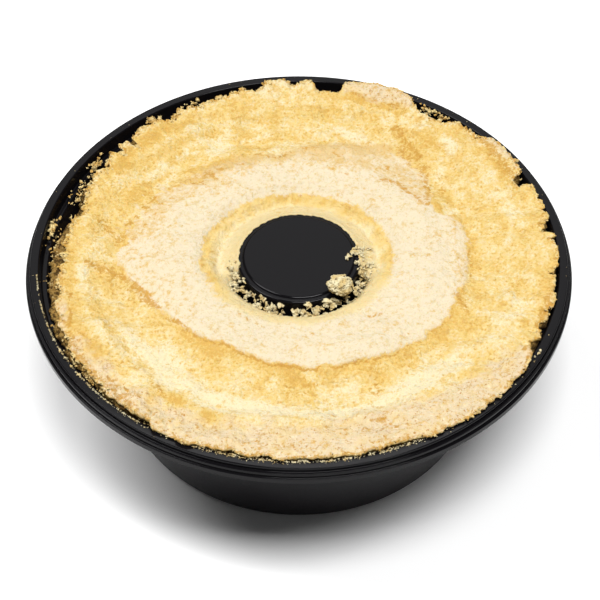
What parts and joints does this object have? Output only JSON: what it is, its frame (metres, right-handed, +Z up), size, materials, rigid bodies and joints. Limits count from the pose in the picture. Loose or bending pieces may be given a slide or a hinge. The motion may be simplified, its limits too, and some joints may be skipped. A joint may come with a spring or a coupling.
{
  "type": "angel food cake in its tub",
  "caption": "Ring-shaped angel food cake in its black moulded tub, with a hollow centre post, a stepped rim and a torn, pale golden top.",
  "frame": {"origin": "centre of the tub's round foot, on the surface that it stands on", "axes": "+Z up along the tub's axis, +X to the right and +Y away as the torn top is usually seen"},
  "size_m": [0.23, 0.23, 0.0873],
  "materials": {
    "black_plastic": "satin black, vacuum formed",
    "cake": "matt, porous golden crumb with pale skin",
    "loose_cake": "matt, porous crumb"
  },
  "bodies": {
    "root": {"tub": "black_plastic", "cake": "cake", "loose_crumb": "loose_cake"}
  },
  "joints": []
}
